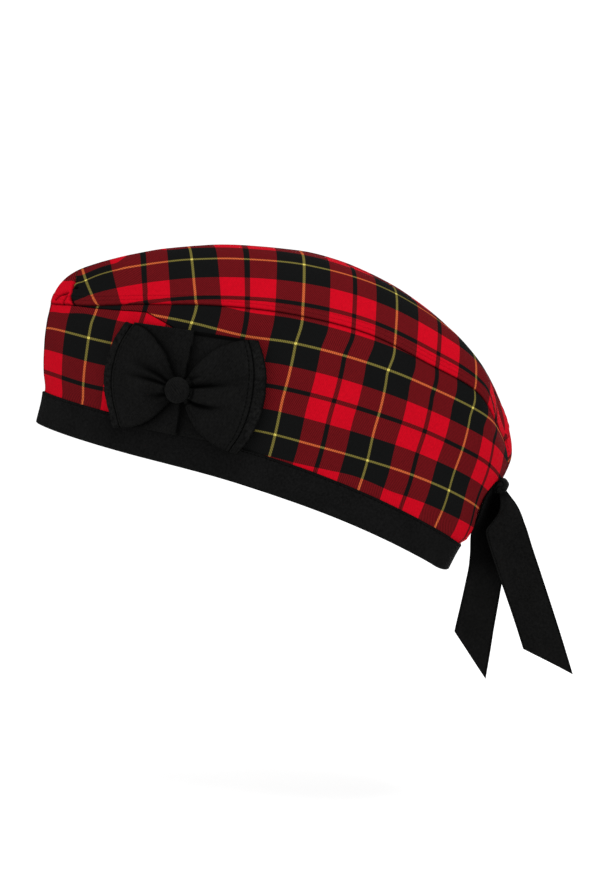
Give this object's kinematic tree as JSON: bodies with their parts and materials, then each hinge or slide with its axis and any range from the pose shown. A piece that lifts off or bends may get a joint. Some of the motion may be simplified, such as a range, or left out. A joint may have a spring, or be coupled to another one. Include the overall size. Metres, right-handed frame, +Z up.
{
  "type": "glengarry cap",
  "caption": "Brimless boat-shaped glengarry cap of tartan cloth with a creased crown, plain head band, gathered bow cockade with a covered button, and ribbon ends hanging from a knot at the back.",
  "frame": {"origin": "Middle of the rim's opening, on the chord between the rim's front and back ends, where the head goes in.", "axes": "+Z is up as the cap is worn nose up, -Y is the front, and +X is the wearer's left, where the cockade is."},
  "size_m": [0.1264, 0.3073, 0.2475],
  "materials": {
    "tartan": "matte woven wool in a red and black tartan with thin yellow and black lines",
    "band_cloth": "matte black twill, stitched along its upper edge",
    "cockade_cloth": "matte black twill with gathered folds",
    "ribbon_cloth": "matte black twill tape with slanted cut ends"
  },
  "bodies": {
    "root": {"left_side": "tartan", "right_side": "tartan", "crown_top": "tartan", "head_band": "band_cloth", "cockade_back": "cockade_cloth", "cockade_bow": "cockade_cloth", "cockade_button": "cockade_cloth", "ribbon_knot": "ribbon_cloth", "ribbon_end_near": "ribbon_cloth", "ribbon_end_far": "ribbon_cloth"}
  },
  "joints": []
}
